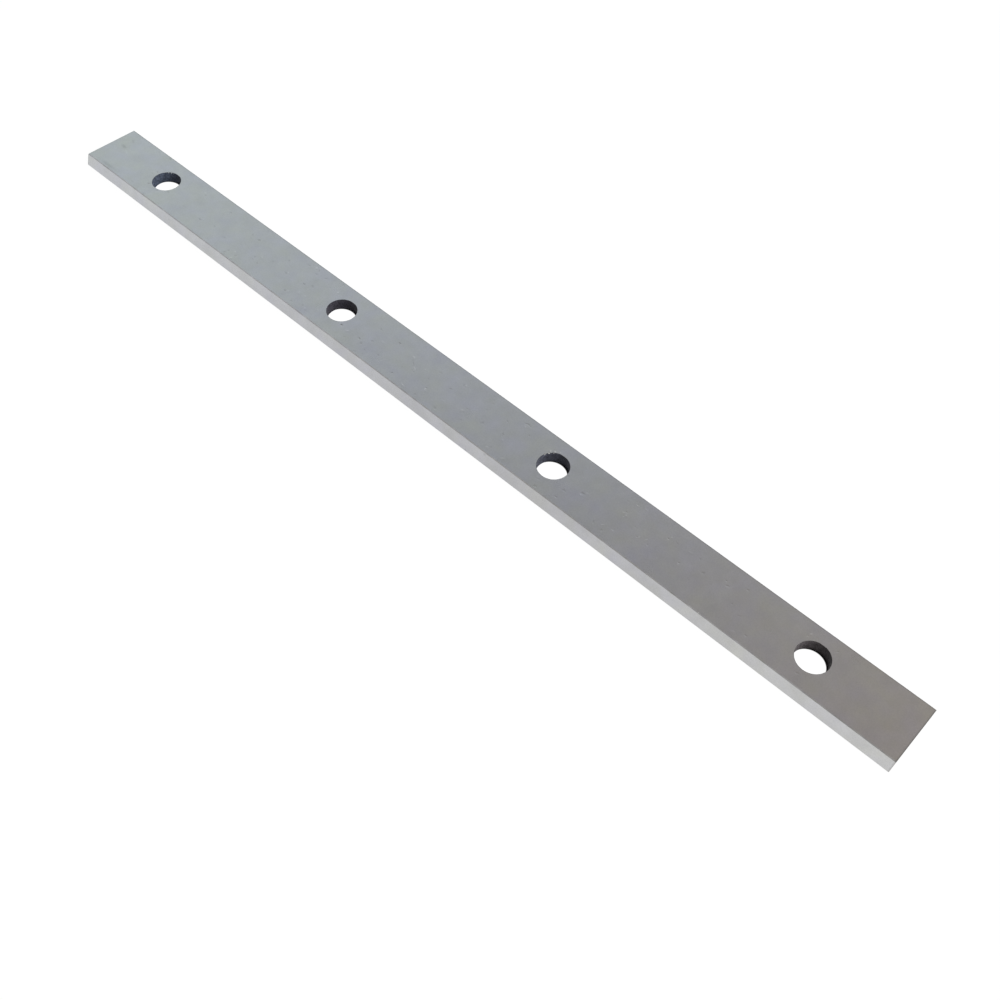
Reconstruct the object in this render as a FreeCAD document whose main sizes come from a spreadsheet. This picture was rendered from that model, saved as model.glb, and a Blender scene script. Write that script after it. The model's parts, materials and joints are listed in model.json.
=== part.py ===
"""Tile cutter blade: one flat bar of tool steel with a ground front and a row of plain fixing holes.

Millimetres. The blade lies flat on its wide face. X runs along its length, Y across it from the
cutting edge to the back edge, and Z is up. The origin is the middle of the wide face's outline.
"""

import FreeCAD, Part
import math
import os
import Sketcher

# Driving dimensions, each with what it is on the blade
SIZES = {
    "blade_length": 304.8,
    "blade_width": 19.2,
    "blade_thickness": 3.6,
    "bevel_run": 1.2,
    "edge_break": 0.2,
    "hole_diameter": 9.0,
    "hole_count": 4,
    "end_to_hole": 28.65,
    "back_to_hole": 8.6,
}
MEANINGS = {
    "blade_length": "end to end",
    "blade_width": "wide face, cutting edge to back edge",
    "blade_thickness": "wide face to narrow face",
    "bevel_run": "how far the ground front leans back over the thickness",
    "edge_break": "small flat where the ground front meets the narrow face",
    "hole_diameter": "plain fixing holes, right through",
    "hole_count": "holes in the row, evenly spaced",
    "end_to_hole": "each end to the centre of the hole nearest to it",
    "back_to_hole": "back edge to the row's centre line",
}

# Places and volumes are compared to this, in mm and as a share
TOLERANCE = 0.001

# How a sketch constraint names the sketch's own origin, and the ends and centre of its geometry
SKETCH_ORIGIN = (-1, 1)
START = 1
END = 2
CENTRE = 3


def sheet_of_sizes(doc):
    """A spreadsheet of the driving dimensions, one row each: name, value and meaning."""
    sheet = doc.addObject("Spreadsheet::Sheet", "Sizes")
    for row, (name, value) in enumerate(SIZES.items(), start=1):
        sheet.set(f"A{row}", name)
        sheet.set(f"B{row}", str(value))
        sheet.set(f"C{row}", MEANINGS[name])
        sheet.setAlias(f"B{row}", name)
    doc.recompute()
    return sheet


def origin_part(body, role):
    """The plane or axis of a body's own origin that has this role."""
    return next(part for part in body.Origin.OriginFeatures if part.Role == role)


def sketch_on(body, name, role):
    """A new sketch on one of a body's own origin planes."""
    sketch = body.newObject("Sketcher::SketchObject", name)
    sketch.AttachmentSupport = (origin_part(body, role), [""])
    sketch.MapMode = "FlatFace"
    return sketch


def bind(sketch, name, formula, *constraint):
    """Add a dimension to a sketch, named, and driven by a formula of the sheet's sizes."""
    index = sketch.addConstraint(Sketcher.Constraint(*constraint))
    sketch.renameConstraint(index, name)
    sketch.setExpression(f"Constraints.{name}", formula)


def draw_section(body):
    """The bar's cross-section: a rectangle whose front side leans back from the cutting edge."""
    half_width = SIZES["blade_width"] / 2
    corners = [
        FreeCAD.Vector(-half_width, 0, 0),
        FreeCAD.Vector(half_width, 0, 0),
        FreeCAD.Vector(half_width, SIZES["blade_thickness"], 0),
        FreeCAD.Vector(-half_width + SIZES["bevel_run"], SIZES["blade_thickness"], 0),
    ]
    sketch = sketch_on(body, "bar_section", "YZ_Plane")
    lines = []
    for start, end in zip(corners, corners[1:] + corners[:1]):
        lines.append(sketch.addGeometry(Part.LineSegment(start, end), False))
    for line, following in zip(lines, lines[1:] + lines[:1]):
        sketch.addConstraint(Sketcher.Constraint("Coincident", line, END, following, START))
    wide_face, back_edge, narrow_face, front = lines
    sketch.addConstraint(Sketcher.Constraint("Horizontal", wide_face))
    sketch.addConstraint(Sketcher.Constraint("Vertical", back_edge))
    sketch.addConstraint(Sketcher.Constraint("Horizontal", narrow_face))
    sketch.addConstraint(
        Sketcher.Constraint("Symmetric", wide_face, START, wide_face, END, *SKETCH_ORIGIN)
    )
    bind(sketch, "width", "Sizes.blade_width",
         "DistanceX", wide_face, START, wide_face, END, SIZES["blade_width"])
    bind(sketch, "thickness", "Sizes.blade_thickness",
         "DistanceY", back_edge, START, back_edge, END, SIZES["blade_thickness"])
    bind(sketch, "lean", "Sizes.bevel_run",
         "DistanceX", front, END, front, START, SIZES["bevel_run"])
    return sketch


def pad_bar(body, section):
    """The bar: its cross-section, run half its length to each side of the origin."""
    bar = body.newObject("PartDesign::Pad", "bar")
    bar.Profile = section
    bar.SideType = "Symmetric"
    bar.setExpression("Length", "Sizes.blade_length")
    return bar


def draw_first_hole(body):
    """The first hole's circle on the narrow face, set out from that face's left back corner."""
    corner_x, corner_y = -SIZES["blade_length"] / 2, SIZES["blade_width"] / 2
    centre = FreeCAD.Vector(corner_x + SIZES["end_to_hole"], corner_y - SIZES["back_to_hole"], 0)
    sketch = sketch_on(body, "first_hole_centre", "XY_Plane")
    sketch.setExpression("AttachmentOffset.Base.z", "Sizes.blade_thickness")
    corner = sketch.addGeometry(Part.Point(FreeCAD.Vector(corner_x, corner_y, 0)), True)
    circle = sketch.addGeometry(
        Part.Circle(centre, FreeCAD.Vector(0, 0, 1), SIZES["hole_diameter"] / 2), False
    )
    bind(sketch, "half_length", "Sizes.blade_length / 2",
         "DistanceX", corner, START, *SKETCH_ORIGIN, -corner_x)
    bind(sketch, "half_width", "Sizes.blade_width / 2",
         "DistanceY", *SKETCH_ORIGIN, corner, START, corner_y)
    bind(sketch, "from_end", "Sizes.end_to_hole",
         "DistanceX", corner, START, circle, CENTRE, SIZES["end_to_hole"])
    bind(sketch, "from_back", "Sizes.back_to_hole",
         "DistanceY", circle, CENTRE, corner, START, SIZES["back_to_hole"])
    bind(sketch, "diameter", "Sizes.hole_diameter", "Diameter", circle, SIZES["hole_diameter"])
    return sketch


def drill_holes(body, circle):
    """The first fixing hole, right through the bar, and its copies up to the other end."""
    hole = body.newObject("PartDesign::Hole", "first_hole")
    hole.Profile = circle
    hole.ThreadType = "None"
    hole.DepthType = "ThroughAll"
    hole.setExpression("Diameter", "Sizes.hole_diameter")
    row = body.newObject("PartDesign::LinearPattern", "hole_row")
    row.Originals = [hole]
    row.Direction = (origin_part(body, "X_Axis"), [""])
    row.setExpression("Length", "Sizes.blade_length - 2 * Sizes.end_to_hole")
    row.setExpression("Occurrences", "Sizes.hole_count")
    body.Tip = row
    return row


def edge_between(shape, start, end):
    """The name of the straight edge of a shape that runs between two points."""
    middle = (start + end) / 2
    for number, edge in enumerate(shape.Edges, start=1):
        on_place = (edge.CenterOfMass - middle).Length < TOLERANCE
        if on_place and abs(edge.Length - (end - start).Length) < TOLERANCE:
            return f"Edge{number}"
    raise RuntimeError("the edge that is to be broken isn't there")


def break_front_edge(body, drilled):
    """The small flat ground along the edge between the front and the narrow face."""
    half_length = SIZES["blade_length"] / 2
    front_y = -SIZES["blade_width"] / 2 + SIZES["bevel_run"]
    left = FreeCAD.Vector(-half_length, front_y, SIZES["blade_thickness"])
    right = FreeCAD.Vector(half_length, front_y, SIZES["blade_thickness"])
    flat = body.newObject("PartDesign::Chamfer", "front_edge_break")
    flat.Base = (drilled, [edge_between(drilled.Shape, left, right)])
    flat.setExpression("Size", "Sizes.edge_break")
    body.Tip = flat
    return flat


def make_blade(doc):
    """The blade: a bar with a leaning front, drilled along a row, with one edge broken."""
    body = doc.addObject("PartDesign::Body", "blade")
    body.Label = "blade"
    body.Placement = FreeCAD.Placement()
    bar = pad_bar(body, draw_section(body))
    doc.recompute()
    row = drill_holes(body, draw_first_hole(body))
    doc.recompute()
    check_holes_cut(bar, row)
    break_front_edge(body, row)
    doc.recompute()
    return body


def check_holes_cut(bar, row):
    """Stop if the drilled bar isn't lighter by the volume of all its holes."""
    one_hole = math.pi * SIZES["hole_diameter"] ** 2 / 4 * SIZES["blade_thickness"]
    expected = one_hole * SIZES["hole_count"]
    removed = bar.Shape.Volume - row.Shape.Volume
    if abs(removed - expected) > TOLERANCE * expected:
        raise RuntimeError(f"the holes removed {removed:.2f} mm3, not {expected:.2f} mm3")


def check_document(doc, bodies):
    """Stop if anything in the document has failed, or a body isn't one valid solid."""
    for item in doc.Objects:
        if {"Invalid", "Error"} & set(item.State):
            raise RuntimeError(f"{item.Name} has failed: {item.State}")
    for body in bodies:
        shape = body.Shape
        if shape.isNull() or not shape.isValid() or len(shape.Solids) != 1:
            raise RuntimeError(f"{body.Label} isn't one valid solid")


def export(bodies):
    """Write each body to its own STEP file, named after its label."""
    os.makedirs("parts", exist_ok=True)
    for body in bodies:
        body.Shape.exportStep(f"parts/{body.Label}.step")


document = FreeCAD.newDocument("tile_cutter_blade")
sheet_of_sizes(document)
pieces = [make_blade(document)]
check_document(document, pieces)
export(pieces)
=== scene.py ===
"""Tile cutter blade: the finished look of a flat shear blade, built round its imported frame.

Lengths are metres in the frame's own axes: X along the blade, Y from the cutting edge to the back
edge, Z up. The blade lies flat on its wide face, and the narrow face looks up at the camera.
"""

import json
import logging
import math
from collections.abc import Callable
from dataclasses import dataclass, field
from enum import Enum, IntEnum

import bmesh
import bpy
from mathutils import Matrix, Vector


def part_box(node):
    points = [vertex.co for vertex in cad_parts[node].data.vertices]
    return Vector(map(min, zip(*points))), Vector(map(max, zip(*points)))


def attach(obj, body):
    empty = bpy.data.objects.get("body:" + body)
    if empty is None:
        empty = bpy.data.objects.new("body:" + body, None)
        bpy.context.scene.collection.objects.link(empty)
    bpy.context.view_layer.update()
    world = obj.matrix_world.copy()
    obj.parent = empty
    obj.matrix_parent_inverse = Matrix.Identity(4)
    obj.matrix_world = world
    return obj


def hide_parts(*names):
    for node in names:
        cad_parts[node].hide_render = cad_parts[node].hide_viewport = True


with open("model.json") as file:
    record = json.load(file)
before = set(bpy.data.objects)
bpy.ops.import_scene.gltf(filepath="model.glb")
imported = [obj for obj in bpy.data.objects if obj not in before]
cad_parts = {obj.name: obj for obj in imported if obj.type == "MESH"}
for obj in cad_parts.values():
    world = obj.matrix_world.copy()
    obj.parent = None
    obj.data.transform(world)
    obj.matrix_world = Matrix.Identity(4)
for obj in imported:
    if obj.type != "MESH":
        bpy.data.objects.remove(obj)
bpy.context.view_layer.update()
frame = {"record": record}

MM = 0.001
# Places nearer than this, in metres, count as one
NEAR = 1e-6
# How much of a face's normal lies along an axis, at the least, for the face to look that way
FACING = 0.93
# How much of a steep face's normal points up or down, at the most
STEEP = 0.5
# Where nearly all of a noise texture's values lie, and their middle
NOISE_LOW, NOISE_MIDDLE, NOISE_HIGH = 0.3, 0.5, 0.7
log = logging.getLogger("tile_cutter_blade")
Element = bmesh.types.BMVert | bmesh.types.BMEdge | bmesh.types.BMFace


class Surface(IntEnum):
    """The blade's surfaces, in the order of its material slots.

    Attributes:
        FLAT: The wide face, the narrow face and the back edge.
        FRONT: The ground front, which leans back from the cutting edge.
        EDGE_BREAK: The small flat between the front and the narrow face.
        CORNER: The bar's other level corners, and the rims of its holes.
        CUT_END: The two ends.
        FIRST_BORE: The wall of the first hole. The other holes' walls follow.
    """

    FLAT = 0
    FRONT = 1
    EDGE_BREAK = 2
    CORNER = 3
    CUT_END = 4
    FIRST_BORE = 5


class Kind(Enum):
    """The kinds of element that are selected in a mesh, each with the operator's word for it."""

    VERT = "VERT"
    EDGE = "EDGE"
    FACE = "FACE"


def linear(hex_colour: str) -> tuple[float, float, float, float]:
    """Turn an sRGB hex colour into the linear RGBA that a shader takes.

    Args:
        hex_colour: Six hex digits after a hash, such as "#BBBDBE".

    Returns:
        Linear red, green and blue, and an alpha of one.
    """
    channels = []
    # The curve and its numbers are the sRGB standard's own
    for start in (1, 3, 5):
        value = int(hex_colour[start : start + 2], 16) / 255
        channels.append(value / 12.92 if value <= 0.04045 else ((value + 0.055) / 1.055) ** 2.4)
    return (*channels, 1.0)


def add_node(
    tree: bpy.types.NodeTree,
    kind: str,
    inputs: dict[str | int, object] | None = None,
    **settings: object,
) -> bpy.types.Node:
    """Add a node with its settings, and with a value or a link on each input named.

    Args:
        tree: The node tree that gets the node.
        kind: The node's type, such as "ShaderNodeTexNoise".
        inputs: What each input holds: a plain value, or another node's output socket.
        settings: The node's own properties.

    Returns:
        The new node.
    """
    node = tree.nodes.new(kind)
    for name, value in settings.items():
        setattr(node, name, value)
    for key, value in (inputs or {}).items():
        if isinstance(value, bpy.types.NodeSocket):
            tree.links.new(value, node.inputs[key])
        else:
            node.inputs[key].default_value = value
    return node


def new_tree(owner: bpy.types.ID) -> bpy.types.NodeTree:
    """Switch an owner's nodes on and empty its tree.

    Args:
        owner: The material or world.

    Returns:
        The empty tree.
    """
    owner.use_nodes = True
    owner.node_tree.nodes.clear()
    return owner.node_tree


def in_millimetres(
    tree: bpy.types.NodeTree, stretch: tuple[float, float, float] = (1, 1, 1)
) -> bpy.types.NodeSocket:
    """The piece's own coordinates in millimetres, divided by a pattern's size along each axis.

    Args:
        tree: The material's node tree.
        stretch: The pattern's size along X, Y and Z, in millimetres.

    Returns:
        The coordinates' socket.
    """
    place = add_node(tree, "ShaderNodeTexCoord")
    scale = tuple(1 / (MM * size) for size in stretch)
    mapping = add_node(tree, "ShaderNodeMapping", {"Vector": place.outputs["Object"], "Scale": scale})
    return mapping.outputs["Vector"]


def noise(
    tree: bpy.types.NodeTree,
    stretch: tuple[float, float, float],
    low: float,
    high: float,
    detail: float = 2.0,
    seed: float = 0.0,
) -> bpy.types.NodeSocket:
    """Noise of a real size, spread over a range of values.

    Args:
        tree: The material's node tree.
        stretch: The noise's size along X, Y and Z, in millimetres.
        low: What the noise's dark places give.
        high: What its light places give.
        detail: How many finer layers it has.
        seed: Picks one pattern of many.

    Returns:
        The value's socket.
    """
    cloud = add_node(
        tree,
        "ShaderNodeTexNoise",
        {"Vector": in_millimetres(tree, stretch), "W": seed, "Scale": 1.0, "Detail": detail},
        noise_dimensions="4D",
    )
    spread = add_node(
        tree,
        "ShaderNodeMapRange",
        {
            "Value": cloud.outputs[0],
            "From Min": NOISE_LOW,
            "From Max": NOISE_HIGH,
            "To Min": low,
            "To Max": high,
        },
        clamp=False,
    )
    return spread.outputs[0]


def sum_of(tree: bpy.types.NodeTree, *values: bpy.types.NodeSocket | float) -> bpy.types.NodeSocket:
    """Add values up.

    Args:
        tree: The material's node tree.
        values: Numbers and sockets, in any mix.

    Returns:
        The sum's socket.
    """
    total = values[0]
    for value in values[1:]:
        total = add_node(tree, "ShaderNodeMath", {0: total, 1: value}, operation="ADD").outputs[0]
    return total


def tint_ramp(
    tree: bpy.types.NodeTree, value: bpy.types.NodeSocket, tints: tuple[tuple[float, str], ...]
) -> bpy.types.NodeSocket:
    """Colours blended one into the next as a value rises.

    Args:
        tree: The material's node tree.
        value: What picks the colour.
        tints: Each value that has a colour of its own, and that colour.

    Returns:
        The colour's socket.
    """
    low, high = tints[0][0], tints[-1][0]
    share = add_node(tree, "ShaderNodeMapRange", {"Value": value, "From Min": low, "From Max": high})
    ramp = add_node(tree, "ShaderNodeValToRGB", {0: share.outputs[0]})
    elements = ramp.color_ramp.elements
    while len(elements) < len(tints):
        elements.new(1.0)
    for element, (place, tint) in zip(elements, tints):
        element.position = (place - low) / (high - low)
        element.color = linear(tint)
    return ramp.outputs[0]


@dataclass(frozen=True)
class Hole:
    """One plain hole, right through the blade.

    Attributes:
        centre: A point on its axis.
        radius: Its radius.
    """

    centre: Vector
    radius: float


@dataclass(frozen=True)
class Mark:
    """A small stain, pit or scratch on the narrow face, in millimetres from the blade's middle.

    Attributes:
        x: Where it is along the blade.
        y: Where it is across the blade.
        length: Its longer side.
        width: Its shorter side.
        turn: How far its longer side is turned from the blade's length, in degrees.
        tone: How much lighter it is than the steel round it, or below nought for darker.
    """

    x: float
    y: float
    length: float
    width: float
    turn: float
    tone: float


# The scale's tint in each hole, from left to right: bluer to the left, browner to the right, and dark
# partly as painted shade
BORE_TINTS_WITH_PAINTED_SHADE = ("#5C6474", "#4A4850", "#565864", "#605A5C")
# The marks that show one by one on the narrow face, roughly from left to right
NARROW_FACE_MARKS = (
    Mark(-147.7, 5.8, 4.2, 1.6, -38, -0.12),
    Mark(-147.6, 2.1, 4.4, 2.0, -8, -0.20),
    Mark(-143.5, -7.4, 15.0, 2.8, 0, -0.13),
    Mark(-144.8, 1.0, 3.6, 1.4, -25, 0.06),
    Mark(-129.3, 1.8, 1.1, 1.0, 0, -0.30),
    Mark(-126.7, -3.7, 1.3, 1.1, -30, -0.30),
    Mark(-109.6, 5.5, 1.2, 1.0, 0, -0.20),
    Mark(-110.5, 6.1, 1.4, 1.0, 0, 0.12),
    Mark(-84.9, 3.9, 2.2, 1.1, -45, -0.15),
    Mark(-96.2, -2.0, 1.4, 1.0, -30, -0.12),
    Mark(-90.0, -3.1, 2.4, 1.0, 20, -0.12),
    Mark(-88.4, -3.4, 1.6, 0.9, -30, 0.07),
    Mark(-93.0, 3.8, 2.8, 0.7, -40, -0.10),
    Mark(-84.4, -5.9, 1.8, 1.4, 20, -0.15),
    Mark(-84.6, -7.3, 1.4, 0.9, 20, -0.18),
    Mark(-82.6, -5.0, 1.8, 0.8, -40, 0.13),
    Mark(-81.3, -7.4, 1.7, 0.9, 20, 0.18),
    Mark(-81.2, -5.8, 1.3, 0.9, 0, -0.14),
    Mark(-76.6, -2.1, 1.8, 0.9, -70, -0.12),
    Mark(-76.2, -3.3, 1.3, 0.8, -30, -0.12),
    Mark(-75.0, -0.8, 2.6, 0.8, -40, 0.12),
    Mark(-74.0, -3.4, 1.6, 0.9, -20, -0.15),
    Mark(-68.0, 4.0, 2.4, 0.9, -35, -0.10),
    Mark(-62.4, 7.1, 2.0, 0.8, -10, -0.13),
    Mark(-59.7, 7.8, 1.3, 0.9, -30, 0.16),
    Mark(-58.4, 7.6, 1.3, 0.9, -20, -0.14),
    Mark(-64.6, -0.2, 1.8, 1.0, -40, -0.20),
    Mark(-64.2, 0.5, 1.3, 0.6, -40, 0.15),
    Mark(-54.8, 1.5, 2.2, 1.4, -30, -0.12),
    Mark(-54.4, 6.8, 2.0, 1.2, 40, -0.12),
    Mark(-59.0, -5.3, 1.7, 1.0, -40, -0.18),
    Mark(-58.3, -4.8, 1.4, 0.6, -40, 0.15),
    Mark(-55.6, -2.8, 1.8, 0.7, -40, 0.12),
    Mark(-53.0, -2.9, 1.3, 0.8, -40, 0.10),
    Mark(-54.6, -6.8, 1.2, 0.8, -30, -0.15),
    Mark(-50.8, -5.7, 1.2, 0.8, -30, -0.14),
    Mark(-49.3, -6.1, 1.8, 1.0, -30, 0.14),
    Mark(-47.6, 5.2, 1.5, 1.0, -40, 0.15),
    Mark(-36.8, -3.1, 1.4, 1.2, 0, -0.42),
    Mark(-34.0, -3.6, 1.6, 0.8, 30, 0.12),
    Mark(-27.4, -4.2, 1.8, 1.0, -50, -0.15),
    Mark(-25.8, -1.4, 1.4, 1.2, -40, -0.12),
    Mark(-24.9, -5.2, 1.5, 0.8, -20, -0.12),
    Mark(-13.0, -6.0, 1.2, 1.0, 0, -0.18),
    Mark(-19.6, 3.6, 1.5, 1.0, -20, -0.20),
    Mark(-12.9, 2.6, 2.4, 0.8, -35, 0.13),
    Mark(-11.2, 0.6, 5.4, 0.7, -40, -0.15),
    Mark(-9.6, -0.4, 2.6, 0.7, -40, 0.12),
    Mark(-9.3, -1.4, 2.0, 0.7, -40, -0.13),
    Mark(-7.2, 1.5, 1.3, 0.9, -30, 0.09),
    Mark(-4.2, -0.3, 1.4, 0.7, -40, -0.10),
    Mark(-7.5, -7.0, 3.0, 0.7, -10, 0.15),
    Mark(-2.6, -7.0, 1.6, 1.0, -20, -0.15),
    Mark(-1.9, -3.8, 2.2, 0.8, -35, 0.15),
    Mark(-2.1, -3.2, 1.0, 0.8, 0, -0.14),
    Mark(4.6, 4.9, 2.0, 0.9, -60, -0.11),
    Mark(5.1, 5.4, 1.3, 0.9, -50, 0.12),
    Mark(10.7, -1.9, 2.2, 0.9, 25, 0.11),
    Mark(11.1, -0.6, 1.2, 0.7, 20, -0.12),
    Mark(14.4, 7.0, 1.1, 0.7, 40, -0.13),
    Mark(14.8, 5.8, 1.0, 0.7, 20, -0.11),
    Mark(17.6, -1.5, 2.0, 1.5, 60, -0.10),
    Mark(22.2, 3.8, 1.8, 0.8, -35, -0.11),
    Mark(24.4, -0.4, 3.0, 0.9, -50, -0.11),
    Mark(25.7, -2.0, 1.4, 0.9, -20, 0.09),
    Mark(24.3, -6.7, 1.1, 0.8, 0, 0.11),
    Mark(27.0, 6.9, 3.4, 0.9, 5, -0.14),
    Mark(27.0, 5.8, 1.3, 0.8, 0, 0.08),
    Mark(29.6, 4.4, 1.1, 0.7, 20, -0.10),
    Mark(30.0, -6.7, 2.0, 0.8, 20, 0.10),
    Mark(38.5, 5.1, 0.8, 0.6, 40, 0.30),
    Mark(37.5, 4.4, 0.7, 0.5, 50, 0.25),
    Mark(39.6, 5.7, 0.6, 0.5, 30, 0.22),
    Mark(52.8, -1.2, 1.3, 0.8, 0, 0.08),
    Mark(64.3, 2.2, 1.2, 0.7, 20, 0.11),
    Mark(65.4, 2.0, 1.0, 0.7, -20, 0.09),
    Mark(64.8, 2.9, 1.1, 0.8, 0, -0.14),
    Mark(64.8, 1.5, 0.9, 0.6, 0, -0.12),
    Mark(60.8, -5.5, 1.9, 0.9, -50, -0.14),
    Mark(63.8, -6.1, 1.7, 0.8, -50, -0.12),
    Mark(62.9, -4.5, 1.6, 0.7, 40, 0.09),
    Mark(65.6, 6.6, 2.0, 0.7, 0, 0.10),
    Mark(68.0, 7.2, 1.8, 0.6, -10, 0.09),
    Mark(72.1, -1.0, 1.2, 0.7, 50, 0.08),
    Mark(71.6, -1.2, 0.9, 0.7, 0, -0.14),
    Mark(74.0, -0.4, 1.5, 0.7, 50, 0.07),
    Mark(75.1, -1.3, 1.1, 0.7, -30, -0.11),
    Mark(77.8, 4.1, 1.3, 0.8, -30, -0.14),
    Mark(78.2, 4.9, 1.0, 0.8, 0, 0.08),
    Mark(84.1, -0.1, 1.3, 0.9, 0, -0.14),
    Mark(84.3, -0.8, 1.4, 0.7, -20, 0.07),
    Mark(87.4, 4.6, 1.4, 1.2, 0, -0.10),
    Mark(96.0, 4.0, 0.8, 0.8, 0, -0.12),
    Mark(119.5, 5.2, 1.3, 0.6, 40, -0.14),
    Mark(119.9, 5.9, 1.4, 0.6, 40, 0.11),
    Mark(127.2, 6.3, 1.6, 0.7, 45, -0.12),
)


@dataclass(frozen=True)
class GroundSteel:
    """Hardened tool steel, surface ground: satin, with fine lengthwise lines and faint clouds.

    Attributes:
        name: The material's name.
        tints: Its colour at places along the blade, in millimetres from the middle.
        roughness: How wide its gloss is.
        cloud: The clouds' size, in millimetres.
        cloud_depth: How much the clouds darken and lighten it.
        mottle: The size of the mottle between the clouds and the grain, in millimetres.
        mottle_depth: How much the mottle darkens and lightens it.
        grain: The finest grain's size, in millimetres. Real grain is finer than a pixel, and this is
            drawn as coarse as it needs to show.
        grain_depth: How much the grain darkens and lightens it.
        gloss_drift: How much the clouds widen and narrow its gloss.
        cast_low: What the yellower clouds multiply its colour by.
        cast_high: What the bluer clouds multiply its colour by.
        fleck_spacing: How far apart the tiny nicks lie, in millimetres.
        fleck_depth: How much the darkest nick darkens it.
        fleck_range: Which way the nicks go, from wholly dark at minus one to wholly light at one.
        fleck_rarity: The power that leaves most nicks faint. It is odd, so that dark stays dark.
        fleck_reach: How wide a nick's core and the whole nick are, as shares of the spacing.
        fleck_turn: Which way the nicks run, in degrees from the blade's length.
        fleck_squeeze: How much closer together the nicks lie along X, Y and Z.
        wobble: The size of the waver in the outlines of nicks and marks, in millimetres.
        wobble_reach: How far that waver pushes them, in millimetres.
        border_width: How wide its darker border is, in millimetres.
        border_depth: How much darker the border is.
        lines: The grinding lines' size along X, Y and Z, in millimetres. Real ones lie near 0.05 mm
            apart, and these are drawn as coarse as a pixel needs.
        line_height: How deep the lines are, in millimetres.
        relief: How deep a wholly black nick or mark would be pressed in, in millimetres. Light ones
            stand out instead.
        marks: The stains and scratches on it.
        mark_gain: What a mark's tone is multiplied by, because its soft edge weakens it.
    """

    name: str
    # Cooler at the left end and warmer at the right: a painted reflection of the studio's light along
    # the blade
    tints: tuple[tuple[float, str], ...] = ((-152, "#B8BEBE"), (50, "#BCBCBC"), (152, "#C0B8B0"))
    roughness: float = 0.28
    cloud: float = 6.0
    cloud_depth: float = 0.028
    mottle: float = 3.0
    mottle_depth: float = 0.02
    grain: float = 0.35
    grain_depth: float = 0.026
    gloss_drift: float = 0.006
    cast_low: tuple[float, float, float] = (1.008, 1.010, 0.960)
    cast_high: tuple[float, float, float] = (0.994, 0.988, 1.050)
    fleck_spacing: float = 2.6
    fleck_depth: float = 0.20
    fleck_range: tuple[float, float] = (-1.0, 0.7)
    fleck_rarity: float = 3.0
    fleck_reach: tuple[float, float] = (0.05, 0.23)
    fleck_turn: float = 40.0
    fleck_squeeze: tuple[float, float, float] = (0.7, 1.3, 1.0)
    wobble: float = 0.8
    wobble_reach: float = 0.9
    border_width: float = 0.5
    border_depth: float = 0.26
    lines: tuple[float, float, float] = (14.0, 0.4, 0.4)
    line_height: float = 0.0004
    relief: float = 0.18
    marks: tuple[Mark, ...] = ()
    mark_gain: float = 1.5

    def material(self) -> bpy.types.Material:
        """Make the material.

        Returns:
            The new material.
        """
        steel = bpy.data.materials.new(self.name)
        tree = new_tree(steel)
        size = self.cloud
        split = add_node(tree, "ShaderNodeSeparateXYZ", {0: in_millimetres(tree)})
        place = sum_of(tree, split.outputs["X"], self._even_noise(tree, size, size, detail=2, seed=2.0))
        hue = noise(tree, (size, size, size), 0.0, 1.0, detail=3, seed=20.0)
        cast = add_node(
            tree,
            "ShaderNodeMix",
            {"Factor": hue, "A": (*self.cast_low, 1.0), "B": (*self.cast_high, 1.0)},
            data_type="RGBA",
        )
        colour = add_node(
            tree,
            "ShaderNodeVectorMath",
            {0: tint_ramp(tree, place, self.tints), 1: cast.outputs["Result"]},
            operation="MULTIPLY",
        ).outputs[0]
        wobbled = self._wobbled_place(tree)
        spots = sum_of(tree, self._flecks(tree, wobbled), self._marks(tree, wobbled))
        tone = sum_of(
            tree,
            1.0,
            self._even_noise(tree, size, self.cloud_depth, detail=3, seed=8.0),
            self._even_noise(tree, self.mottle, self.mottle_depth, detail=1, seed=17.0),
            self._even_noise(tree, self.grain, self.grain_depth, detail=0, seed=11.0),
            spots,
            self._border(tree),
        )
        shaded = add_node(tree, "ShaderNodeVectorMath", {0: colour, "Scale": tone}, operation="SCALE")
        drift = self._even_noise(tree, size, self.gloss_drift, detail=2, seed=14.0)
        lines = noise(tree, self.lines, -self.line_height, self.line_height, detail=2, seed=5.0)
        height = add_node(
            tree, "ShaderNodeMath", {0: spots, 1: self.relief, 2: lines}, operation="MULTIPLY_ADD"
        )
        bump = add_node(
            tree, "ShaderNodeBump", {"Strength": 1.0, "Distance": MM, "Height": height.outputs[0]}
        )
        shader = add_node(
            tree,
            "ShaderNodeBsdfPrincipled",
            {
                "Base Color": shaded.outputs[0],
                "Metallic": 1.0,
                "Roughness": sum_of(tree, self.roughness, drift),
                "Normal": bump.outputs[0],
            },
        )
        add_node(tree, "ShaderNodeOutputMaterial", {"Surface": shader.outputs["BSDF"]})
        return steel

    def _even_noise(
        self, tree: bpy.types.NodeTree, size: float, depth: float, detail: float, seed: float
    ) -> bpy.types.NodeSocket:
        """Noise of one size in all directions, which goes as far above nought as below it."""
        return noise(tree, (size, size, size), -depth, depth, detail=detail, seed=seed)

    def _wobbled_place(self, tree: bpy.types.NodeTree) -> bpy.types.NodeSocket:
        """The piece's coordinates in millimetres, pushed about a little, so that no spot is round.

        Args:
            tree: The material's node tree.

        Returns:
            The coordinates' socket.
        """
        size, reach = self.wobble, self.wobble_reach
        wobble = add_node(
            tree,
            "ShaderNodeTexNoise",
            {"Vector": in_millimetres(tree, (size, size, size)), "Scale": 1.0, "Detail": 2.0},
        )
        drift = add_node(
            tree,
            "ShaderNodeVectorMath",
            {0: wobble.outputs["Color"], 1: (NOISE_MIDDLE, NOISE_MIDDLE, NOISE_MIDDLE)},
            operation="SUBTRACT",
        )
        place = add_node(
            tree,
            "ShaderNodeVectorMath",
            {0: drift.outputs[0], 1: (reach, reach, reach), 2: in_millimetres(tree)},
            operation="MULTIPLY_ADD",
        )
        return place.outputs[0]

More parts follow.
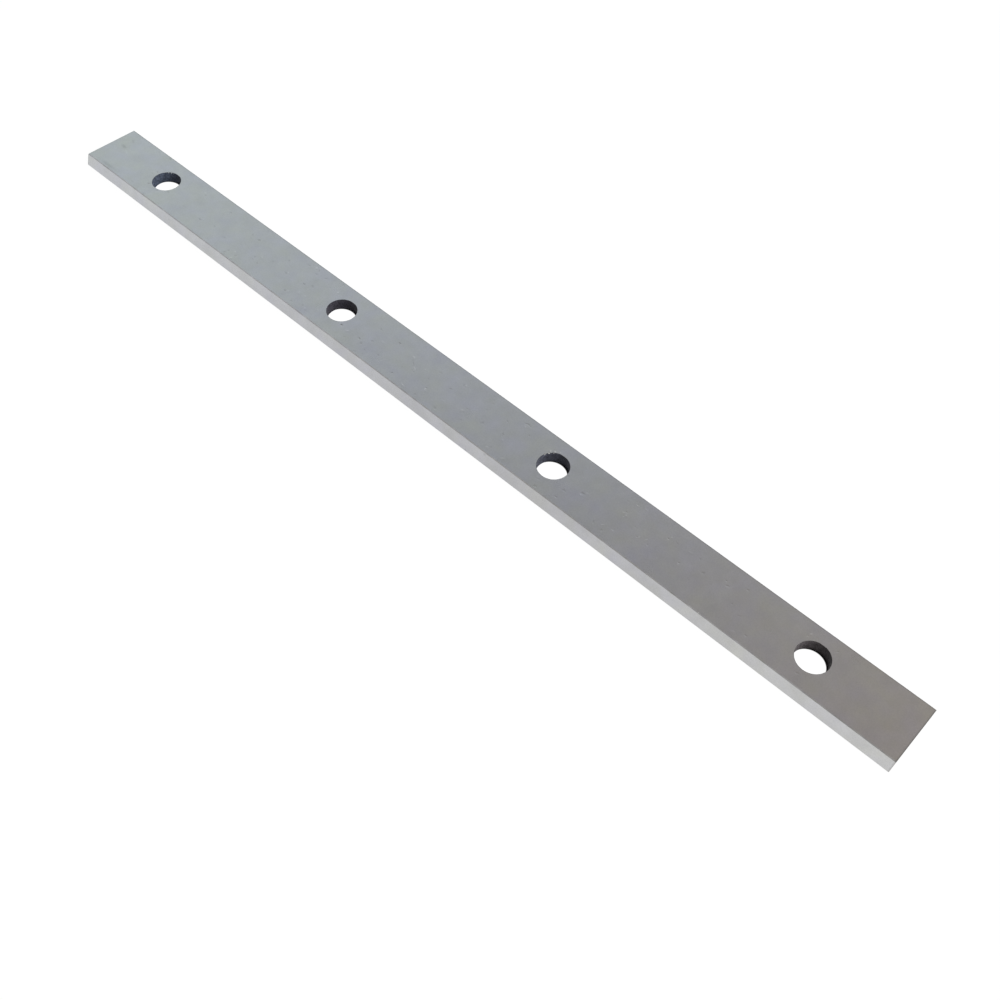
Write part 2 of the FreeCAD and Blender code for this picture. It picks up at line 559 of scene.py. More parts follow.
    def _flecks(self, tree: bpy.types.NodeTree, place: bpy.types.NodeSocket) -> bpy.types.NodeSocket:
        """Sparse tiny nicks: most are faint, and a few are clearly darker or lighter.

        Args:
            tree: The material's node tree.
            place: The wobbled coordinates.

        Returns:
            The socket of how much they lighten or darken each place.
        """
        turned = add_node(
            tree,
            "ShaderNodeMapping",
            {
                "Vector": place,
                "Rotation": (0, 0, math.radians(self.fleck_turn)),
                "Scale": tuple(squeeze / self.fleck_spacing for squeeze in self.fleck_squeeze),
            },
        )
        cells = add_node(tree, "ShaderNodeTexVoronoi", {"Vector": turned.outputs[0], "Scale": 1.0})
        spot = add_node(
            tree,
            "ShaderNodeMapRange",
            {
                "Value": cells.outputs["Distance"],
                "From Min": self.fleck_reach[0],
                "From Max": self.fleck_reach[1],
                "To Min": self.fleck_depth,
                "To Max": 0.0,
            },
            interpolation_type="SMOOTHSTEP",
        )
        chance = add_node(tree, "ShaderNodeSeparateColor", {0: cells.outputs["Color"]})
        darkest, lightest = self.fleck_range
        lean = add_node(
            tree,
            "ShaderNodeMapRange",
            {"Value": chance.outputs[0], "To Min": darkest, "To Max": lightest},
        )
        tone = add_node(
            tree, "ShaderNodeMath", {0: lean.outputs[0], 1: self.fleck_rarity}, operation="POWER"
        )
        return add_node(
            tree, "ShaderNodeMath", {0: spot.outputs[0], 1: tone.outputs[0]}, operation="MULTIPLY"
        ).outputs[0]

    def _border(self, tree: bpy.types.NodeTree) -> bpy.types.NodeSocket:
        """How much the face darkens along its ends and its back edge.

        Args:
            tree: The material's node tree.

        Returns:
            The socket of that darkening, nought or below.
        """
        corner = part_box("blade")[1]
        split = add_node(tree, "ShaderNodeSeparateXYZ", {0: in_millimetres(tree)})
        along = add_node(tree, "ShaderNodeMath", {0: split.outputs["X"]}, operation="ABSOLUTE")
        near = [
            add_node(
                tree,
                "ShaderNodeMapRange",
                {"Value": value, "From Min": edge / MM - self.border_width, "From Max": edge / MM},
                interpolation_type="SMOOTHSTEP",
            ).outputs[0]
            for value, edge in ((along.outputs[0], corner.x), (split.outputs["Y"], corner.y))
        ]
        nearest = add_node(tree, "ShaderNodeMath", {0: near[0], 1: near[1]}, operation="MAXIMUM")
        return add_node(
            tree, "ShaderNodeMath", {0: nearest.outputs[0], 1: -self.border_depth}, operation="MULTIPLY"
        ).outputs[0]

    def _marks(
        self, tree: bpy.types.NodeTree, place: bpy.types.NodeSocket
    ) -> bpy.types.NodeSocket | float:
        """How much the marks lighten or darken each place.

        Args:
            tree: The material's node tree.
            place: The wobbled coordinates.

        Returns:
            The socket of the marks' sum, or nought where there are none.
        """
        total = 0.0
        for mark in self.marks:
            inside = add_node(
                tree,
                "ShaderNodeMapping",
                {
                    "Vector": place,
                    "Location": (mark.x, mark.y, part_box("blade")[1].z / MM),
                    "Rotation": (0, 0, math.radians(mark.turn)),
                    "Scale": (mark.length / 2, mark.width / 2, 1),
                },
                vector_type="TEXTURE",
            )
            spot = add_node(
                tree,
                "ShaderNodeTexGradient",
                {"Vector": inside.outputs[0]},
                gradient_type="QUADRATIC_SPHERE",
            )
            total = add_node(
                tree,
                "ShaderNodeMath",
                {0: spot.outputs["Fac"], 1: mark.tone * self.mark_gain, 2: total},
                operation="MULTIPLY_ADD",
            ).outputs[0]
        return total


@dataclass(frozen=True)
class ScaleWithPaintedShade:
    """Blue-black scale left in a drilled bore by hardening: dull and patchy, and dark partly as painted
    shade.

    Attributes:
        hole: The hole that it lines.
        tint: Its colour half way across the hole.
        light_side: What its tint is multiplied by at one side of the hole, where light is painted.
        dark_side: What its tint is multiplied by at the other side, where shade is painted.
        heading: Which way across the painted shade deepens, in degrees from the blade's right-hand
            direction.
        roughness: How dull it is.
        sheen_level: How little of a gloss is left on it.
        patches: The size of its patches along X, Y and Z, in millimetres.
        patch_drift: How far the patches push that painted light and shade about, in millimetres.
        mottle: The size of its mottle along X, Y and Z, in millimetres.
        mottle_depth: How much the mottle darkens and lightens it.
        flakes: The size of its flakes along X, Y and Z, in millimetres.
        flake_height: How far a flake stands out.
        name: The material's name.
    """

    hole: Hole
    tint: str
    light_side: float = 1.3
    dark_side: float = 0.3
    heading: float = 43.0
    roughness: float = 0.6
    sheen_level: float = 0.08
    patches: tuple[float, float, float] = (1.6, 1.6, 1.6)
    patch_drift: float = 1.2
    mottle: tuple[float, float, float] = (0.7, 0.7, 0.9)
    mottle_depth: float = 0.45
    flakes: tuple[float, float, float] = (0.5, 0.5, 0.7)
    flake_height: float = 0.01 * MM
    name: str = "tool_steel_scale_with_painted_shade"

    def material(self) -> bpy.types.Material:
        """Make the material.

        Returns:
            The new material.
        """
        scale = bpy.data.materials.new(self.name)
        tree = new_tree(scale)
        heading = math.radians(self.heading)
        across = Vector((math.cos(heading), math.sin(heading), 0))
        swept = add_node(
            tree, "ShaderNodeVectorMath", {0: in_millimetres(tree), 1: across}, operation="DOT_PRODUCT"
        )
        middle = self.hole.centre.dot(across) / MM
        drift = noise(tree, self.patches, -self.patch_drift, self.patch_drift, detail=3)
        reach = self.hole.radius / MM
        # Lighter on one side of the hole and darker on the other: painted light and shade
        lean = add_node(
            tree,
            "ShaderNodeMapRange",
            {
                "Value": sum_of(tree, swept.outputs["Value"], -middle, drift),
                "From Min": -reach,
                "From Max": reach,
                "To Min": self.light_side,
                "To Max": self.dark_side,
            },
        )
        mottle = noise(tree, self.mottle, -self.mottle_depth, self.mottle_depth, detail=3, seed=3.0)
        tone = add_node(
            tree,
            "ShaderNodeMath",
            {0: sum_of(tree, 1.0, mottle), 1: lean.outputs[0]},
            operation="MULTIPLY",
        )
        shaded = add_node(
            tree,
            "ShaderNodeVectorMath",
            {0: linear(self.tint)[:3], "Scale": tone.outputs[0]},
            operation="SCALE",
        )
        flakes = noise(tree, self.flakes, -1.0, 1.0, detail=3, seed=6.0)
        bump = add_node(
            tree, "ShaderNodeBump", {"Strength": 1.0, "Distance": self.flake_height, "Height": flakes}
        )
        shader = add_node(
            tree,
            "ShaderNodeBsdfPrincipled",
            {
                "Base Color": shaded.outputs[0],
                "Metallic": 0.0,
                "Roughness": self.roughness,
                "Specular IOR Level": self.sheen_level,
                "Normal": bump.outputs[0],
            },
        )
        add_node(tree, "ShaderNodeOutputMaterial", {"Surface": shader.outputs["BSDF"]})
        return scale


@dataclass(frozen=True)
class RimChip:
    """A small chip in the upper rim of one hole.

    Attributes:
        hole: Which hole, counted from the left end.
        angle: Where on the rim, in degrees from the blade's right-hand direction.
        reach: How far the chip runs along the rim to each side.
        depth: How far it bites out from the hole, or below nought for a burr that stands into it.
    """

    hole: int
    angle: float
    reach: float
    depth: float


@dataclass
class Blade:
    """The blade: one bar with a leaning ground front, one broken edge and a row of holes.

    Attributes:
        front_lean: How far the front leans back over the thickness.
        edge_break: The small flat where the front meets the narrow face.
        rim_break: The round on each hole's rims.
        corner_break: The flat on the bar's level corners.
        upright_break: The flat on its upright corners.
        keen_break: The flat on the cutting edge, which is all but sharp.
        smooth_angle: Faces that meet at more than this many degrees keep a sharp line between them.
        corner_angle: Faces that meet at more than this many degrees make a corner to be broken.
        collar: The side of the square of face that is drawn in to each hole.
        rim_steps: How many steps go round a hole.
        collar_rings: How far out from the hole each ring of its collar lies, the widest first.
        wall_rings: How far down the hole each ring of its wall lies.
        chips: The chips in the upper rims.
        chip_border: How far out from a hole its chips move the face.
        low: The bar's lowest corner.
        high: Its highest corner.
        holes: Its holes, from left to right.
    """

    front_lean: float = 1.2 * MM
    edge_break: float = 0.2 * MM
    rim_break: float = 0.07 * MM
    corner_break: float = 0.08 * MM
    upright_break: float = 0.04 * MM
    keen_break: float = 0.02 * MM
    smooth_angle: float = 20.0
    corner_angle: float = 50.0
    collar: float = 14.0 * MM
    rim_steps: int = 192
    collar_rings: tuple[float, ...] = (1.2 * MM, 0.4 * MM, 0.0)
    wall_rings: tuple[float, ...] = (0.35 * MM, 1.0 * MM)
    chips: tuple[RimChip, ...] = (
        RimChip(hole=0, angle=111, reach=0.35 * MM, depth=0.10 * MM),
        RimChip(hole=0, angle=122, reach=0.40 * MM, depth=0.16 * MM),
        RimChip(hole=0, angle=134, reach=0.30 * MM, depth=0.12 * MM),
        RimChip(hole=0, angle=147, reach=0.45 * MM, depth=0.09 * MM),
        RimChip(hole=1, angle=126, reach=0.30 * MM, depth=0.09 * MM),
        RimChip(hole=2, angle=130, reach=0.25 * MM, depth=0.14 * MM),
        RimChip(hole=2, angle=138, reach=0.25 * MM, depth=-0.12 * MM),
        RimChip(hole=2, angle=145, reach=0.35 * MM, depth=0.20 * MM),
        RimChip(hole=2, angle=153, reach=0.22 * MM, depth=-0.06 * MM),
        RimChip(hole=2, angle=160, reach=0.35 * MM, depth=0.16 * MM),
    )
    chip_border: float = 0.45 * MM
    low: Vector = field(init=False)
    high: Vector = field(init=False)
    holes: list[Hole] = field(init=False)

    def __post_init__(self) -> None:
        """Read the bar's corners and its holes from the frame."""
        self.low, self.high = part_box("blade")
        self.holes = [
            Hole(Vector(mount["pos_m"]), mount["dims"]["r_mm"] * MM)
            for mount in frame["record"]["mounts"]
            if mount["kind"] == "bore"
        ]

    def build(self) -> bpy.types.Object:
        """Model the blade, with its place in its mesh.

        Returns:
            The blade's object.
        """
        blade = self._lay_outline()
        self._open_holes()
        self._raise_thickness()
        self._lean_front()
        self._break_edges()
        self._chip_rims()
        self._sort_surfaces(blade)
        bpy.ops.object.mode_set(mode="OBJECT")
        bpy.ops.object.shade_smooth_by_angle(angle=math.radians(self.smooth_angle))
        return blade

    def finishes(self) -> list[GroundSteel | ScaleWithPaintedShade]:
        """The blade's finishes.

        Returns:
            One finish for each material slot, in the slots' order.
        """
        # Surface ground flat: a satin that carries soft reflections along the blade, with a painted
        # reflection in its tints, faint clouds, and the stains, nicks and scratches of handling
        flat = GroundSteel("tool_steel_surface_ground", marks=NARROW_FACE_MARKS)
        # Ground at a slant after hardening: the same satin with finer lines, which looks paler to the
        # eye because it faces the bright lower studio. Its tints, a little darker right of the middle,
        # are a painted reflection
        front = GroundSteel(
            "tool_steel_bevel_ground",
            tints=((-152, "#BABCBE"), (50, "#B2B2B4"), (152, "#C0C0BE")),
            cloud_depth=0.045,
            cast_low=(1.004, 1.006, 0.975),
            cast_high=(0.994, 0.993, 1.038),
            lines=(14.0, 0.3, 0.3),
        )
        # Broken by hand with a stone: a thin line, its bright patches painted glints where the stone
        # took more, and dull between
        broken = GroundSteel(
            "tool_steel_stoned_edge_with_painted_glints",
            tints=((-152, "#C8CACC"), (-40, "#D0D0D2"), (152, "#C4C2C0")),
            roughness=0.35,
            cloud=3.0,
            cloud_depth=0.10,
            mottle_depth=0.12,
            fleck_spacing=1.2,
            fleck_depth=0.5,
        )
        # The bar's other corners and the holes' rims: a thin dark outline
        corner = GroundSteel(
            "tool_steel_dark_corner", tints=((-152, "#5A5C5E"), (152, "#464442")), roughness=0.45
        )
        # Cut across: lines that run over the end instead of along the blade, and a duller satin
        end = GroundSteel("tool_steel_end_cut", lines=(0.3, 14.0, 0.3), roughness=0.34)
        ground = {
            Surface.FLAT: flat,
            Surface.FRONT: front,
            Surface.EDGE_BREAK: broken,
            Surface.CORNER: corner,
            Surface.CUT_END: end,
        }
        # Left in the drilled holes by hardening: blue-black and matt, and dark partly as painted shade,
        # so that their walls stay dark
        scales = [ScaleWithPaintedShade(hole, tint) for hole, tint in zip(self.holes, BORE_TINTS_WITH_PAINTED_SHADE)]
        return [ground[surface] for surface in sorted(ground)] + scales

    def dress(self, blade: bpy.types.Object) -> None:
        """Give the blade its materials."""
        for finish in self.finishes():
            blade.data.materials.append(finish.material())

    def _lay_outline(self) -> bpy.types.Object:
        """Add a flat sheet of the bar's outline, cut along the borders of each hole's collar.

        Returns:
            The sheet's object, in edit mode.
        """
        size = self.high - self.low
        middle = (self.low + self.high) / 2
        bpy.ops.object.select_all(action="DESELECT")
        bpy.ops.mesh.primitive_plane_add(size=1, location=(middle.x, middle.y, self.low.z))
        blade = bpy.context.object
        blade.name = blade.data.name = "cutter_blade"
        blade.scale = (size.x, size.y, 1)
        bpy.ops.object.transform_apply(location=True, rotation=True, scale=True)
        bpy.ops.object.mode_set(mode="EDIT")
        half = self.collar / 2
        row = self.holes[0].centre.y
        sides = (-half, half)
        cuts = [((hole.centre.x + side, 0, 0), (1, 0, 0)) for hole in self.holes for side in sides]
        cuts += [((0, row + side, 0), (0, 1, 0)) for side in sides]
        for place, normal in cuts:
            bpy.ops.mesh.select_all(action="SELECT")
            bpy.ops.mesh.bisect(plane_co=place, plane_no=normal)
        return blade

    def _open_holes(self) -> None:
        """Draw the square border of each collar in to a circle, ring by ring, round an open hole."""
        half = self.collar / 2
        for hole in self.holes:
            spot = Vector((hole.centre.x, hole.centre.y, self.low.z))
            self._select_faces(lambda face: (face.calc_center_median() - spot).length < hole.radius)
            bpy.ops.mesh.delete(type="ONLY_FACE")
            self._select_edges(lambda edge: all(_in_square(vert.co, spot, half) for vert in edge.verts))
            bpy.ops.mesh.subdivide(number_cuts=self.rim_steps // 4 - 1)
            for gap in self.collar_rings:
                bpy.ops.mesh.extrude_edges_move()
                bpy.ops.transform.tosphere(value=1)
                mesh = bmesh.from_edit_mesh(bpy.context.object.data)
                reach = max((vert.co - spot).length for vert in mesh.verts if vert.select)
                share = (hole.radius + gap) / reach
                bpy.ops.transform.resize(value=(share, share, 1))

    def _raise_thickness(self) -> None:
        """Extrude the sheet to the bar's thickness, which closes it into a solid."""
        bpy.ops.mesh.select_all(action="SELECT")
        rise = self.high.z - self.low.z
        bpy.ops.mesh.extrude_region_move(TRANSFORM_OT_translate={"value": (0, 0, rise)})
        bpy.ops.mesh.select_all(action="SELECT")
        bpy.ops.mesh.normals_make_consistent(inside=False)
        for depth in self.wall_rings:
            self._select_faces(lambda face: self._on_bore(face.calc_center_median()))
            bpy.ops.mesh.bisect(plane_co=(0, 0, self.high.z - depth), plane_no=(0, 0, 1))

    def _lean_front(self) -> None:
        """Move the upper front edge back, so that the front leans from the cutting edge."""
        self._select_verts(
            lambda vert: vert.co.y < self.low.y + NEAR and vert.co.z > self.high.z - NEAR
        )
        bpy.ops.transform.translate(value=(0, self.front_lean, 0))

    def _break_edges(self) -> None:
        """Bevel the upper front edge and the hole rims, then the bar's corners and the keen edge."""
        front_top = self.low.y + self.front_lean
        self._select_edges(
            lambda edge: all(
                abs(vert.co.y - front_top) < NEAR and vert.co.z > self.high.z - NEAR
                for vert in edge.verts
            )
        )
        self._bevel(self.edge_break)
        self._select_edges(self._is_rim)
        self._bevel(self.rim_break, segments=2)
        self._select_edges(lambda edge: self._is_outer_corner(edge) and not _is_level(edge))
        self._bevel(self.upright_break)
        self._select_edges(
            lambda edge: self._is_outer_corner(edge) and _is_level(edge) and not self._is_keen(edge)
        )
        self._bevel(self.corner_break)
        self._select_edges(self._is_keen)
        self._bevel(self.keen_break)

    def _bevel(self, width: float, segments: int = 1) -> None:
        """Bevel the selected edges, so that each new edge lies one width from the old one."""
        bpy.ops.mesh.bevel(offset=width, offset_type="OFFSET", segments=segments, affect="EDGES")

    def _chip_rims(self) -> None:
        """Push the upper rim out at each chip, less and less away from its middle."""
        deepest = self.wall_rings[0]
        mesh = bmesh.from_edit_mesh(bpy.context.object.data)
        for chip in self.chips:
            hole = self.holes[chip.hole]
            for vert in mesh.verts:
                out = Vector((vert.co.x - hole.centre.x, vert.co.y - hole.centre.y, 0))
                below = self.high.z - vert.co.z
                if out.length > hole.radius + self.chip_border or below > deepest:
                    continue
                swing = math.remainder(math.atan2(out.y, out.x) - math.radians(chip.angle), math.tau)
                along = abs(swing) * hole.radius / chip.reach
                if along < 1:
                    share = (1 - along * along) * (1 - below / deepest)
                    vert.co += out.normalized() * chip.depth * share
        bmesh.update_edit_mesh(bpy.context.object.data)

    def _sort_surfaces(self, blade: bpy.types.Object) -> None:
        """Give each face the material slot of the surface that it is on.

        Args:
            blade: The blade's object, in edit mode.
        """
        mesh = bmesh.from_edit_mesh(blade.data)
        for face in mesh.faces:
            face.material_index = self._surface_of(face)
        bmesh.update_edit_mesh(blade.data)

    def _surface_of(self, face: bmesh.types.BMFace) -> int:
        """The material slot of the surface that a face of the finished mesh is on.

        Args:
            face: The face.

        Returns:
            The slot's number.
        """
        normal = face.normal
        place = face.calc_center_median()
        if self._on_bore(place):
            away = [abs(hole.centre.x - place.x) for hole in self.holes]
            nearest = away.index(min(away))
            return Surface.FIRST_BORE + nearest if abs(normal.z) < STEEP else Surface.CORNER
        if abs(normal.x) > FACING:
            return Surface.CUT_END
        if normal.y < -FACING:
            return Surface.FRONT
        if max(abs(normal.y), abs(normal.z)) > FACING:
            return Surface.FLAT
        if abs(normal.x) < 1 - FACING and normal.y < 0:
            return Surface.EDGE_BREAK
        return Surface.CORNER if abs(normal.z) > STEEP else Surface.CUT_END

    def _on_bore(self, place: Vector) -> bool:
        """Whether a place lies within a hole's wall or rim."""
        margin = self.rim_break / 2
        return any(
            math.hypot(place.x - hole.centre.x, place.y - hole.centre.y) < hole.radius + margin
            for hole in self.holes
        )

    def _is_rim(self, edge: bmesh.types.BMEdge) -> bool:
        """Whether an edge is part of a hole's sharp upper or lower rim."""
        level = all(
            min(abs(vert.co.z - self.low.z), abs(vert.co.z - self.high.z)) < NEAR
            for vert in edge.verts
        )
        return level and _is_level(edge) and all(self._on_bore(vert.co) for vert in edge.verts)

    def _is_outer_corner(self, edge: bmesh.types.BMEdge) -> bool:
        """Whether an edge is one of the bar's own sharp corners, away from the holes.

        Args:
            edge: The edge.

        Returns:
            True if it is.
        """
        if len(edge.link_faces) != 2 or any(self._on_bore(vert.co) for vert in edge.verts):
            return False
        return edge.calc_face_angle(0) > math.radians(self.corner_angle)

    def _is_keen(self, edge: bmesh.types.BMEdge) -> bool:
        """Whether an edge is part of the cutting edge, which stays all but sharp."""
        return all(
            vert.co.y < self.low.y + NEAR and vert.co.z < self.low.z + NEAR for vert in edge.verts
        )

    def _select_faces(self, wanted: Callable[[bmesh.types.BMFace], bool]) -> None:
        """Select just the faces that a test accepts."""
        self._select(Kind.FACE, wanted)

    def _select_edges(self, wanted: Callable[[bmesh.types.BMEdge], bool]) -> None:
        """Select just the edges that a test accepts."""
        self._select(Kind.EDGE, wanted)

    def _select_verts(self, wanted: Callable[[bmesh.types.BMVert], bool]) -> None:
        """Select just the vertices that a test accepts."""
        self._select(Kind.VERT, wanted)

    def _select(self, kind: Kind, wanted: Callable[[Element], bool]) -> None:
        """Select just the elements of one kind that a test accepts, in the mesh being edited.

        Args:
            kind: The kind of element.
            wanted: Takes one element and says whether it is wanted.
        """
        bpy.ops.mesh.select_mode(type=kind.value)
        bpy.ops.mesh.select_all(action="DESELECT")
        mesh = bmesh.from_edit_mesh(bpy.context.object.data)
        elements = {Kind.VERT: mesh.verts, Kind.EDGE: mesh.edges, Kind.FACE: mesh.faces}[kind]
        for element in [element for element in elements if wanted(element)]:
            element.select_set(True)
        mesh.select_flush_mode()
        bmesh.update_edit_mesh(bpy.context.object.data)


def _in_square(place: Vector, centre: Vector, half: float) -> bool:
    """Whether a place lies on the border of a square round a centre."""
    across = max(abs(place.x - centre.x), abs(place.y - centre.y))
    return abs(across - half) < NEAR


def _is_level(edge: bmesh.types.BMEdge) -> bool:
    """Whether an edge runs level."""
    return abs(edge.verts[0].co.z - edge.verts[1].co.z) < NEAR


@dataclass
class Studio:
    """A pale sweep, a soft lamp and the camera.

    Attributes:
        holes: The blade's holes, which the floor shows through.
        floor_size: How wide the floor is.
        paper: The floor's colour where its light falls on other things.
        paper_seen: Its colour where it is seen, on top of its glow.
        paper_unlit: Its colour in the painted shadow in a hole, where the wall keeps the light off it.
        glow: How brightly it glows where it is seen. One is white.
        glow_in_hole: The same in a hole, where it is brighter: painted light that lifts the shade there.
        hole_margin: How far the floor under a hole reaches past the hole's wall.
        shadow_shift: How far a hole's lit patch of floor lies from under the hole. The rest of the floor
            under the hole is painted dark as the wall's shadow.
        shadow_edge: How wide each half of the lit patch's soft edge is.
        sky_behind: What the steel reflects from behind the blade, by degrees above the floor.
        sky_in_front: The same from in front of it.
        sky_turn: How far forward of the blade's own line one of them has turned into the other, as
            the sine of the angle.
        lamp_place: Where the lamp hangs.
        lamp_size: How wide it is.
        lamp_power: Its power, in watts.
        aim: Where the camera looks.
        distance: How far the camera is from there.
        azimuth: How far round it stands to the right, in degrees.
        elevation: How far up it stands, in degrees.
        roll: How far it leans, in degrees.
        lens: Its focal length, in millimetres.
        clip_start: How near to it things still show.
    """

    holes: list[Hole]
    floor_size: float = 6.0
    paper: str = "#E7E7E7"
    paper_seen: str = "#696969"
    paper_unlit: str = "#272727"
    glow: float = 0.92
    glow_in_hole: float = 1.0
    hole_margin: float = 0.1 * MM
    shadow_shift: tuple[float, float] = (-0.21 * MM, -0.44 * MM)
    shadow_edge: float = 0.1 * MM
    sky_behind: tuple[tuple[float, str], ...] = (
        (20, "#FFFFFF"),
        (46, "#D8DEE4"),
        (54, "#A2A4AA"),
        (90, "#B4B0AC"),
    )
    sky_in_front: tuple[tuple[float, str], ...] = (
        (12, "#FFFFFF"),
        (20, "#CCCCCC"),
        (50, "#A0A0A0"),
        (90, "#B4B0AC"),
    )
    sky_turn: float = 0.35
    lamp_place: tuple[float, float, float] = (1.1, 0.1, 0.7)
    lamp_size: float = 1.2
    lamp_power: float = 5.0
    aim: tuple[float, float, float] = (38.913 * MM, -17.236 * MM, 3.6 * MM)
    distance: float = 300.11 * MM
    azimuth: float = 39.502
    elevation: float = 52.905
    roll: float = 4.250
    lens: float = 41.761
    clip_start: float = 0.01

    def build(self) -> None:
        """Make the floor, the world, the lamp and the camera."""
        self._floor()
        self._world()
        self._lamp()
        self._camera()

    def _floor(self) -> None:
        """Lay the pale floor that the blade rests on. It is clear from below, so the wide face shows."""
        bpy.ops.object.select_all(action="DESELECT")
        bpy.ops.mesh.primitive_plane_add(size=self.floor_size, location=(0, 0, 0))
        floor = bpy.context.object
        floor.name = "floor"
        floor.data.materials.append(self._paper_material())

    def _paper_material(self) -> bpy.types.Material:
        """Pale sweep paper, matt: white to the eye, with the blade's shadow on it, and under each hole a
        brighter glow and a painted shadow.

        Returns:
            The new material.
        """
        paint = bpy.data.materials.new("pale_sweep_paper")
        paint.cycles.emission_sampling = "NONE"
        tree = new_tree(paint)
        paper = add_node(tree, "ShaderNodeBsdfDiffuse", {"Color": linear(self.paper)})
        thin = add_node(tree, "ShaderNodeBsdfDiffuse", {"Color": linear(self.paper_seen)})
        under_hole = self._under_hole(tree)
        # Under a hole the floor glows brighter: painted light that lifts the shade there
        strength = add_node(
            tree,
            "ShaderNodeMapRange",
            {"Value": under_hole, "To Min": self.glow, "To Max": self.glow_in_hole},
        )
        glow = add_node(
            tree, "ShaderNodeEmission", {"Color": (1, 1, 1, 1), "Strength": strength.outputs[0]}
        )
        bright = add_node(tree, "ShaderNodeAddShader", {0: thin.outputs[0], 1: glow.outputs[0]})
        # A dark colour under each hole past the lit patch: a painted shadow of the wall, placed by
        # position
        dark = add_node(tree, "ShaderNodeBsdfDiffuse", {"Color": linear(self.paper_unlit)})
        shadow = add_node(
            tree, "ShaderNodeMath", {0: under_hole, 1: self._unlit(tree)}, operation="MULTIPLY"
        )
        white = add_node(
            tree,
            "ShaderNodeMixShader",
            {"Fac": shadow.outputs[0], 1: bright.outputs[0], 2: dark.outputs[0]},
        )
        seen = self._seen(tree)
        above = add_node(
            tree, "ShaderNodeMixShader", {"Fac": seen, 1: paper.outputs[0], 2: white.outputs[0]}
        )
        clear = add_node(tree, "ShaderNodeBsdfTransparent")
        side = add_node(tree, "ShaderNodeNewGeometry")
        mix = add_node(
            tree,
            "ShaderNodeMixShader",
            {"Fac": side.outputs["Backfacing"], 1: above.outputs[0], 2: clear.outputs[0]},
        )
        add_node(tree, "ShaderNodeOutputMaterial", {"Surface": mix.outputs[0]})
        return paint

    def _under_hole(self, tree: bpy.types.NodeTree) -> bpy.types.NodeSocket:
        """One on the floor under a hole, and nought elsewhere."""
        reach = (self.holes[0].radius + self.hole_margin) / MM
        return add_node(
            tree,
            "ShaderNodeMath",
            {0: self._nearest_hole(tree, (0, 0)), 1: reach},
            operation="LESS_THAN",
        ).outputs[0]

    def _unlit(self, tree: bpy.types.NodeTree) -> bpy.types.NodeSocket:
        """Nought on each hole's lit patch of floor, and one past the patch's soft edge, where a shadow
        is painted.
        """
        radius = self.holes[0].radius
        return add_node(
            tree,
            "ShaderNodeMapRange",
            {
                "Value": self._nearest_hole(tree, self.shadow_shift),
                "From Min": (radius - self.shadow_edge) / MM,
                "From Max": (radius + self.shadow_edge) / MM,
            },
            interpolation_type="SMOOTHSTEP",
        ).outputs[0]

    def _nearest_hole(
        self, tree: bpy.types.NodeTree, shift: tuple[float, float]
    ) -> bpy.types.NodeSocket:
        """How far each place on the floor is from the nearest hole's axis, in millimetres.

        Args:
            tree: The floor's node tree.
            shift: How far the axes are moved along and across the blade first.

        Returns:
            The distance's socket.
        """
        place = in_millimetres(tree)
        nearest = None
        for hole in self.holes:
            axis = ((hole.centre.x + shift[0]) / MM, (hole.centre.y + shift[1]) / MM, 0)
            away = add_node(
                tree, "ShaderNodeVectorMath", {0: place, 1: axis}, operation="DISTANCE"
            ).outputs["Value"]
            if nearest is None:
                nearest = away
            else:
                nearest = add_node(
                    tree, "ShaderNodeMath", {0: nearest, 1: away}, operation="MINIMUM"
                ).outputs[0]
        return nearest

    def _seen(self, tree: bpy.types.NodeTree) -> bpy.types.NodeSocket:
        """One for what the camera sees, directly or in metal or glass, and nought for other light.

        Args:
            tree: The floor's node tree.

        Returns:
            The value's socket.
        """
        path = add_node(tree, "ShaderNodeLightPath")
        first = add_node(
            tree,
            "ShaderNodeMath",
            {0: path.outputs["Is Camera Ray"], 1: path.outputs["Is Glossy Ray"]},
            operation="MAXIMUM",
        )
        both = add_node(
            tree,
            "ShaderNodeMath",
            {0: first.outputs[0], 1: path.outputs["Is Transmission Ray"]},
            operation="MAXIMUM",
        )
        return both.outputs[0]

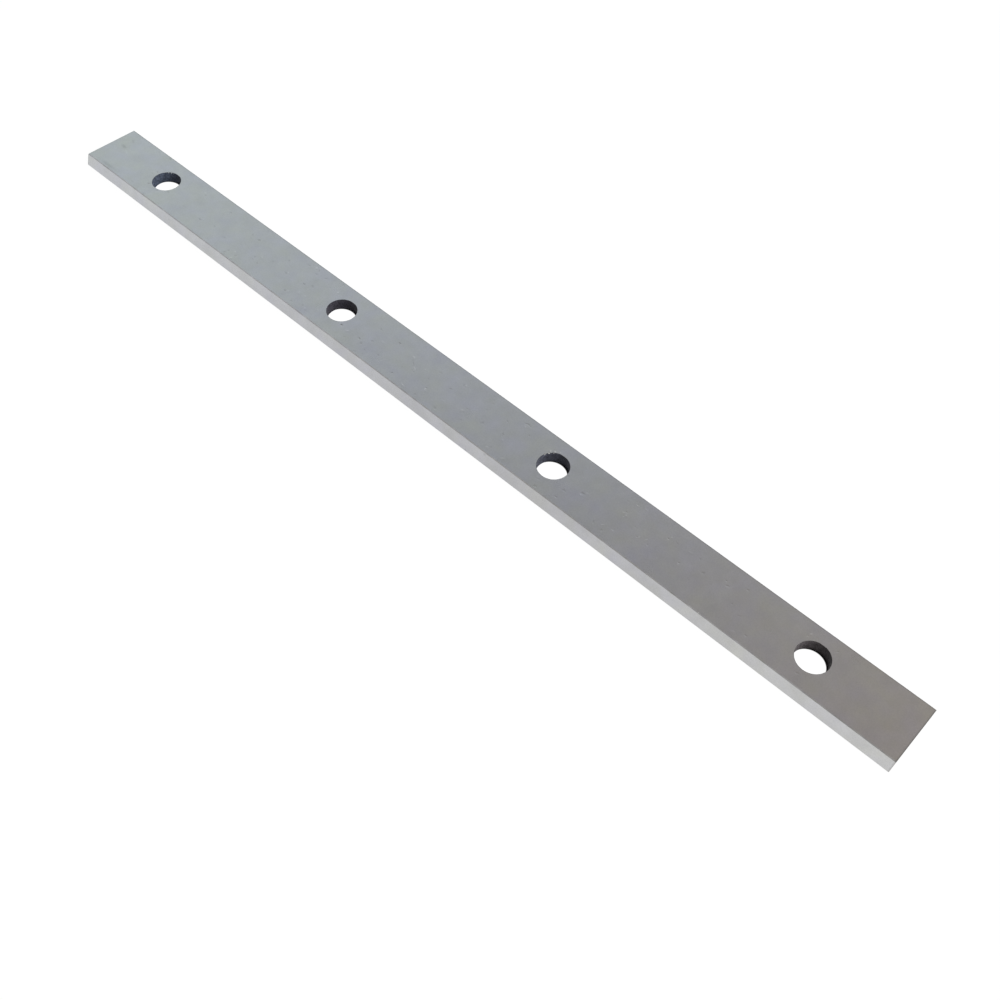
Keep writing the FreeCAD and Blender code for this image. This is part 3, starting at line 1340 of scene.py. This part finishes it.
    def _world(self) -> None:
        """Light the sweep white near the floor, and leave the studio darker overhead."""
        world = bpy.data.worlds.new("studio")
        bpy.context.scene.world = world
        world.cycles.sampling_method = "NONE"
        tree = new_tree(world)
        place = add_node(tree, "ShaderNodeTexCoord")
        split = add_node(tree, "ShaderNodeSeparateXYZ", {0: place.outputs["Generated"]})
        sides = [
            tint_ramp(
                tree, split.outputs["Z"], tuple((math.sin(math.radians(up)), tint) for up, tint in side)
            )
            for side in (self.sky_behind, self.sky_in_front)
        ]
        toward = add_node(
            tree,
            "ShaderNodeMapRange",
            {"Value": split.outputs["Y"], "From Min": 0.0, "From Max": -self.sky_turn},
        )
        both = add_node(
            tree,
            "ShaderNodeMix",
            {"Factor": toward.outputs[0], "A": sides[0], "B": sides[1]},
            data_type="RGBA",
        )
        sky = add_node(tree, "ShaderNodeBackground", {"Color": both.outputs["Result"], "Strength": 1.0})
        add_node(tree, "ShaderNodeOutputWorld", {"Surface": sky.outputs[0]})

    def _lamp(self) -> None:
        """Hang one large soft lamp off to the blade's right, turned towards it."""
        lamp_data = bpy.data.lights.new("soft_box", "AREA")
        lamp_data.energy = self.lamp_power
        lamp_data.size = self.lamp_size
        lamp = bpy.data.objects.new("soft_box", lamp_data)
        bpy.context.scene.collection.objects.link(lamp)
        lamp.location = self.lamp_place
        lamp.rotation_euler = (-lamp.location).to_track_quat("-Z", "Y").to_euler()

    def _camera(self) -> None:
        """Stand the camera where the photograph was taken from."""
        turn, tilt, roll = (math.radians(a) for a in (self.azimuth, self.elevation, self.roll))
        ahead = Vector(
            (-math.sin(turn) * math.cos(tilt), math.cos(turn) * math.cos(tilt), -math.sin(tilt))
        )
        level = Vector((math.cos(turn), math.sin(turn), 0))
        right = level * math.cos(roll) + level.cross(ahead) * math.sin(roll)
        up = right.cross(ahead)
        camera_data = bpy.data.cameras.new("camera")
        camera_data.lens = self.lens
        camera_data.clip_start = self.clip_start
        camera = bpy.data.objects.new("camera", camera_data)
        bpy.context.scene.collection.objects.link(camera)
        placed = Matrix((right, up, -ahead)).transposed().to_4x4()
        placed.translation = Vector(self.aim) - ahead * self.distance
        camera.matrix_world = placed
        bpy.context.scene.camera = camera


def main() -> None:
    """Build the blade and the studio, and report each piece."""
    logging.basicConfig(level=logging.INFO, format="%(name)s: %(message)s")
    bpy.context.scene.view_settings.view_transform = "Standard"
    maker = Blade()
    Studio(maker.holes).build()
    blade = maker.build()
    maker.dress(blade)
    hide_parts("blade")
    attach(blade, "root")
    log.info("%s: %d faces", blade.name, len(blade.data.polygons))


if __name__ == "__main__":
    main()
